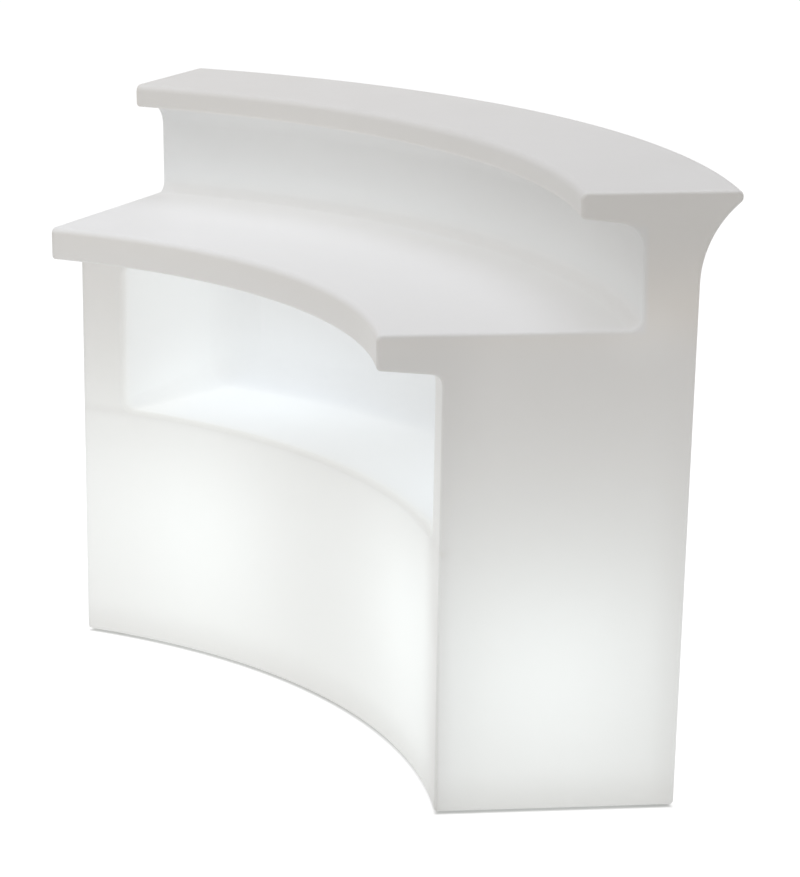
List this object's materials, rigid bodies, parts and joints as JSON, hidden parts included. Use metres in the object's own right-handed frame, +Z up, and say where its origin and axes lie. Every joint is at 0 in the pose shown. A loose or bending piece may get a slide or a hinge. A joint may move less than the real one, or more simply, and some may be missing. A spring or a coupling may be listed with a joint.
{
  "type": "bar counter",
  "caption": "Curved hollow bar counter with a raised guest ledge, a working shelf and a storage niche, lit from inside, on levelling feet.",
  "frame": {"origin": "on the floor under the middle of the counter's box", "axes": "+Z up, +X along the counter's chord, -Y towards the staff's concave side"},
  "size_m": [1.7486, 0.7678, 1.1],
  "materials": {
    "shell": "translucent satin polyethylene, lit from inside",
    "pad": "moulded grey polyamide",
    "steel": "zinc plated",
    "brass": "turned",
    "hatch": "moulded off-white",
    "gasket": "closed-cell foam rubber",
    "holder": "glazed white",
    "globe": "opal",
    "cable": "white sheath",
    "inlet": "moulded black"
  },
  "bodies": {
    "counter": {"counter_shell": "shell", "foot_insert_1": "brass", "foot_insert_2": "brass", "foot_insert_3": "brass", "foot_insert_4": "brass", "foot_insert_5": "brass", "foot_insert_6": "brass", "hatch_plate_left": "hatch", "hatch_gasket_left": "gasket", "lamp_riser_left": "hatch", "lamp_holder_left": "holder", "bulb_cap_left": "steel", "bulb_globe_left": "globe", "hatch_screw_left_1": "steel", "hatch_screw_left_2": "steel", "hatch_screw_left_3": "steel", "hatch_screw_left_4": "steel", "hatch_insert_left_1": "brass", "hatch_insert_left_2": "brass", "hatch_insert_left_3": "brass", "hatch_insert_left_4": "brass", "riser_screw_left_1": "steel", "riser_screw_left_2": "steel", "hatch_plate_right": "hatch", "hatch_gasket_right": "gasket", "lamp_riser_right": "hatch", "lamp_holder_right": "holder", "bulb_cap_right": "steel", "bulb_globe_right": "globe", "hatch_screw_right_1": "steel", "hatch_screw_right_2": "steel", "hatch_screw_right_3": "steel", "hatch_screw_right_4": "steel", "hatch_insert_right_1": "brass", "hatch_insert_right_2": "brass", "hatch_insert_right_3": "brass", "hatch_insert_right_4": "brass", "riser_screw_right_1": "steel", "riser_screw_right_2": "steel", "link_cable": "cable", "supply_lead": "cable", "cable_clip_1": "cable", "cable_clip_2": "cable", "cable_clip_3": "cable", "power_inlet": "inlet", "inlet_nut": "inlet"},
    "foot_pad_1": {"foot_pad_1": "pad"},
    "foot_stem_1": {"foot_stem_1": "steel"},
    "foot_pad_2": {"foot_pad_2": "pad"},
    "foot_stem_2": {"foot_stem_2": "steel"},
    "foot_pad_3": {"foot_pad_3": "pad"},
    "foot_stem_3": {"foot_stem_3": "steel"},
    "foot_pad_4": {"foot_pad_4": "pad"},
    "foot_stem_4": {"foot_stem_4": "steel"},
    "foot_pad_5": {"foot_pad_5": "pad"},
    "foot_stem_5": {"foot_stem_5": "steel"},
    "foot_pad_6": {"foot_pad_6": "pad"},
    "foot_stem_6": {"foot_stem_6": "steel"}
  },
  "joints": [
    {"name": "foot_1_height", "type": "slide", "parent": "counter", "child": "foot_pad_1", "axis": [0, 0, 1], "range_m": [-0.012, 0]},
    {"name": "foot_1_turn", "type": "hinge", "parent": "foot_pad_1", "child": "foot_stem_1", "pos_m": [-0.58756, -0.22945, 0.02], "axis": [0, 0, 1], "range_deg": [-2880, 0]},
    {"name": "foot_2_height", "type": "slide", "parent": "counter", "child": "foot_pad_2", "axis": [0, 0, 1], "range_m": [-0.012, 0]},
    {"name": "foot_2_turn", "type": "hinge", "parent": "foot_pad_2", "child": "foot_stem_2", "pos_m": [0, -0.08713, 0.02], "axis": [0, 0, 1], "range_deg": [-2880, 0]},
    {"name": "foot_3_height", "type": "slide", "parent": "counter", "child": "foot_pad_3", "axis": [0, 0, 1], "range_m": [-0.012, 0]},
    {"name": "foot_3_turn", "type": "hinge", "parent": "foot_pad_3", "child": "foot_stem_3", "pos_m": [0.58756, -0.22945, 0.02], "axis": [0, 0, 1], "range_deg": [-2880, 0]},
    {"name": "foot_4_height", "type": "slide", "parent": "counter", "child": "foot_pad_4", "axis": [0, 0, 1], "range_m": [-0.012, 0]},
    {"name": "foot_4_turn", "type": "hinge", "parent": "foot_pad_4", "child": "foot_stem_4", "pos_m": [-0.75171, 0.05487, 0.02], "axis": [0, 0, 1], "range_deg": [-2880, 0]},
    {"name": "foot_5_height", "type": "slide", "parent": "counter", "child": "foot_pad_5", "axis": [0, 0, 1], "range_m": [-0.012, 0]},
    {"name": "foot_5_turn", "type": "hinge", "parent": "foot_pad_5", "child": "foot_stem_5", "pos_m": [0, 0.24087, 0.02], "axis": [0, 0, 1], "range_deg": [-2880, 0]},
    {"name": "foot_6_height", "type": "slide", "parent": "counter", "child": "foot_pad_6", "axis": [0, 0, 1], "range_m": [-0.012, 0]},
    {"name": "foot_6_turn", "type": "hinge", "parent": "foot_pad_6", "child": "foot_stem_6", "pos_m": [0.75171, 0.05487, 0.02], "axis": [0, 0, 1], "range_deg": [-2880, 0]}
  ],
  "couplings": [
    {"joint": "foot_1_turn", "follows": "foot_1_height", "rad_per_m": 4188.8},
    {"joint": "foot_2_turn", "follows": "foot_2_height", "rad_per_m": 4188.8},
    {"joint": "foot_3_turn", "follows": "foot_3_height", "rad_per_m": 4188.8},
    {"joint": "foot_4_turn", "follows": "foot_4_height", "rad_per_m": 4188.8},
    {"joint": "foot_5_turn", "follows": "foot_5_height", "rad_per_m": 4188.8},
    {"joint": "foot_6_turn", "follows": "foot_6_height", "rad_per_m": 4188.8}
  ]
}
